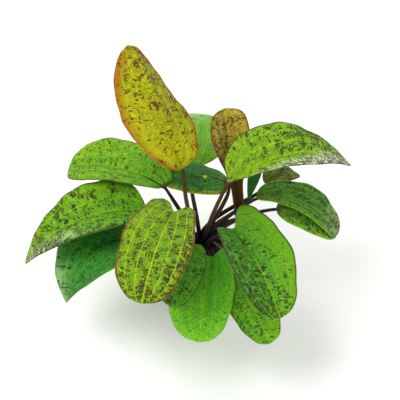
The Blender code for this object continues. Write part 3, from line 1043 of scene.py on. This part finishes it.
def moulded_plastic(settings):
    """Injection-moulded polypropylene: satin, with a fine spark-eroded grain and faint flow marks."""
    made, node = new_material("moulded polypropylene")
    place = node("TexCoord", output="Object")
    # Grain of 0.15 mm from the mould, and flow marks 8 mm long
    grain = node("noise", place, 5200, 2)
    flow = node("noise", place, 130, 3, Distortion=0.6)
    dull = [c * 1.7 + 0.004 for c in settings.plastic]
    surface = {
        "Base Color": node("ramp", flow, stops=((0.3, settings.plastic), (0.75, dull))),
        "Roughness": node("MapRange", flow, 0.25, 0.75, 0.36, 0.52),
        "Normal": node("Bump", Strength=0.25, Distance=0.06 * MM, Height=grain),
        "IOR": 1.49,
    }
    return finish(made, surface)


def studio_floor(settings):
    """Matt photo card: pale, with a hardly visible tooth."""
    made, node = new_material("photo card")
    tooth = node("noise", node("TexCoord", output="Object"), 400, 3)
    tone = node("ramp", tooth, stops=((0.3, [c * 0.98 for c in settings.floor]), (0.7, settings.floor)))
    return finish(made, {"Base Color": tone, "Roughness": 0.8})


# Studio


def area_light(name, size, power, place, aim):
    """A soft square light at a place, turned to face its aim."""
    data = bpy.data.lights.new(name, "AREA")
    data.shape = "SQUARE"
    data.size = size
    data.energy = power
    lamp = bpy.data.objects.new(name, data)
    lamp.location = place
    lamp.rotation_euler = (Vector(aim) - Vector(place)).to_track_quat("-Z", "Y").to_euler()
    bpy.context.scene.collection.objects.link(lamp)


class PLANT_OT_studio(bpy.types.Operator):
    """Set up the pale floor, the soft lights and the camera"""

    bl_idname = "plant.studio"
    bl_label = "Studio"

    def execute(self, context):
        settings = context.scene.plant_studio
        bpy.ops.object.select_all(action="DESELECT")
        bpy.ops.mesh.primitive_plane_add(size=6, location=(0, 0, 0))
        floor = context.active_object
        floor.name = "floor"
        floor.data.materials.append(studio_floor(settings))
        world = bpy.data.worlds.new("studio")
        world.use_nodes = True
        sky = world.node_tree.nodes["Background"]
        feed(sky.inputs["Color"], linear("FFFFFF"))
        feed(sky.inputs["Strength"], 0.75)
        context.scene.world = world
        context.scene.view_settings.view_transform = "Standard"
        area_light("key", 0.7, 9, (-0.55, -0.35, 1.05), (0, 0, 0.1))
        area_light("fill", 0.9, 3, (0.8, -0.6, 0.8), (0, 0, 0.1))
        area_light("back", 0.6, 4, (0.1, 0.9, 0.9), (0, 0, 0.12))
        data = bpy.data.cameras.new("camera")
        data.lens = settings.lens
        data.sensor_width = 36
        data.clip_start = 0.05
        data.clip_end = 20
        camera = bpy.data.objects.new("camera", data)
        back = Vector((0, -math.cos(settings.elevation), math.sin(settings.elevation)))
        camera.location = Vector((0, 0, settings.aim)) + back * settings.distance
        camera.rotation_euler = (-back).to_track_quat("-Z", "Y").to_euler()
        context.scene.collection.objects.link(camera)
        context.scene.camera = camera
        return {"FINISHED"}


# Panel and registration


class PLANT_PT_panel(bpy.types.Panel):
    """The plant's pieces and their settings"""

    bl_idname = "PLANT_PT_panel"
    bl_label = "Potted sword plant"
    bl_space_type = "VIEW_3D"
    bl_region_type = "UI"
    bl_category = "Plant"

    def draw(self, context):
        scene = context.scene
        for operator, group in STEPS:
            box = self.layout.box()
            box.operator(operator.bl_idname)
            settings = getattr(scene, group)
            for name in settings.__annotations__:
                if name != "looks":
                    box.prop(settings, name)
        for look in scene.plant_blades.looks:
            box = self.layout.box()
            box.label(text=look.name)
            for name in look.__annotations__:
                box.prop(look, name)


STEPS = (
    (PLANT_OT_blades, "plant_blades"),
    (PLANT_OT_stalks, "plant_stalks"),
    (PLANT_OT_rootstock, "plant_stalks"),
    (PLANT_OT_wool, "plant_pot"),
    (PLANT_OT_pot, "plant_pot"),
    (PLANT_OT_studio, "plant_studio"),
)
GROUPS = {
    "plant_blades": BladeSettings,
    "plant_stalks": StalkSettings,
    "plant_pot": PotSettings,
    "plant_studio": StudioSettings,
}
CLASSES = (BladeLook, *GROUPS.values(), *(operator for operator, _ in STEPS), PLANT_PT_panel)


def register():
    for item in CLASSES:
        bpy.utils.register_class(item)
    for name, group in GROUPS.items():
        setattr(bpy.types.Scene, name, bpy.props.PointerProperty(type=group))


def unregister():
    for name in GROUPS:
        delattr(bpy.types.Scene, name)
    for item in reversed(CLASSES):
        bpy.utils.unregister_class(item)


def fill_looks(looks):
    """Give every leaf its look from the two tables."""
    for name, codes in COLOURS.items():
        look = looks.add()
        look.name = name
        for part, code in zip(TONES, codes):
            setattr(look, part, linear(code))
        for part, value in zip(MARKINGS, SHARES[name]):
            setattr(look, part, value)
    looks["back_shaded"].spot = (-1.5 * MM, 17 * MM, 1.6 * MM)


def main():
    register()
    fill_looks(bpy.context.scene.plant_blades.looks)
    bpy.ops.plant.blades()
    bpy.ops.plant.stalks()
    bpy.ops.plant.rootstock()
    bpy.ops.plant.wool()
    bpy.ops.plant.pot()
    bpy.ops.plant.studio()


if __name__ == "__main__":
    main()
